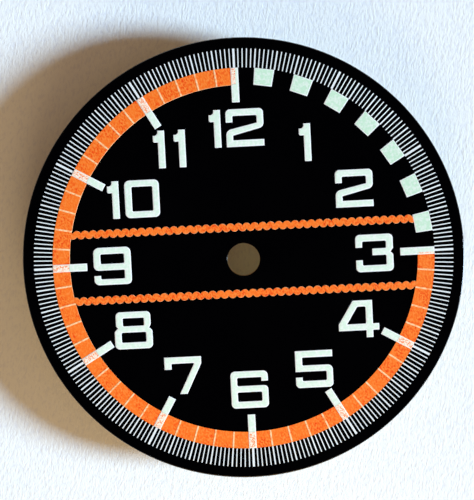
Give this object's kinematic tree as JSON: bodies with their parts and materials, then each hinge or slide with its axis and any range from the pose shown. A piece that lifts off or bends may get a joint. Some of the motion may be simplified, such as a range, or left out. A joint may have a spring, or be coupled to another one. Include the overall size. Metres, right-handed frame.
{
  "type": "watch dial",
  "caption": "Round black watch dial with luminous block numerals, hour bars, an orange minute ring, wavy cross stripes, a centre hole and feet on its back.",
  "frame": {"origin": "on the axis of the centre hole, at the back face of the plate", "axes": "+Z along the centre hole, out of the printed face; +Y towards the numeral at 12 o'clock; +X towards the numeral at 3 o'clock; the feet point along -Z"},
  "size_m": [0.0285, 0.0284, 0.0027],
  "materials": {
    "plate_brass": "satin",
    "black_lacquer": "gloss",
    "orange_ink": "matte",
    "white_ink": "matte",
    "luminous_paint": "matte",
    "foot_copper": "satin",
    "solder": "satin"
  },
  "bodies": {
    "root": {"dial_plate": "plate_brass", "black_lacquer": "black_lacquer", "orange_ring": "orange_ink", "orange_stripe_upper": "orange_ink", "orange_stripe_lower": "orange_ink", "ring_underprint": "white_ink", "stripe_underprint_upper": "white_ink", "stripe_underprint_lower": "white_ink", "track_fine_lines": "white_ink", "track_minute_lines": "white_ink", "track_hour_lines": "white_ink", "ring_minute_lines": "white_ink", "hour_bar_print": "white_ink", "square_print": "white_ink", "numeral_print": "white_ink", "dial_foot_upper": "foot_copper", "dial_foot_lower": "foot_copper", "foot_solder_upper": "solder", "foot_solder_lower": "solder", "hour_bar_lume_03": "luminous_paint", "hour_bar_lume_04": "luminous_paint", "hour_bar_lume_05": "luminous_paint", "hour_bar_lume_06": "luminous_paint", "hour_bar_lume_07": "luminous_paint", "hour_bar_lume_08": "luminous_paint", "hour_bar_lume_09": "luminous_paint", "hour_bar_lume_10": "luminous_paint", "hour_bar_lume_11": "luminous_paint", "hour_bar_lume_12": "luminous_paint", "square_lume_1": "luminous_paint", "square_lume_2": "luminous_paint", "square_lume_3": "luminous_paint", "square_lume_4": "luminous_paint", "square_lume_5": "luminous_paint", "square_lume_6": "luminous_paint", "square_lume_7": "luminous_paint", "numeral_lume_01": "luminous_paint", "numeral_lume_02": "luminous_paint", "numeral_lume_03": "luminous_paint", "numeral_lume_04": "luminous_paint", "numeral_lume_05": "luminous_paint", "numeral_lume_06": "luminous_paint", "numeral_lume_07": "luminous_paint", "numeral_lume_08": "luminous_paint", "numeral_lume_09": "luminous_paint", "numeral_lume_10": "luminous_paint", "numeral_lume_11": "luminous_paint", "numeral_lume_12": "luminous_paint"}
  },
  "joints": []
}
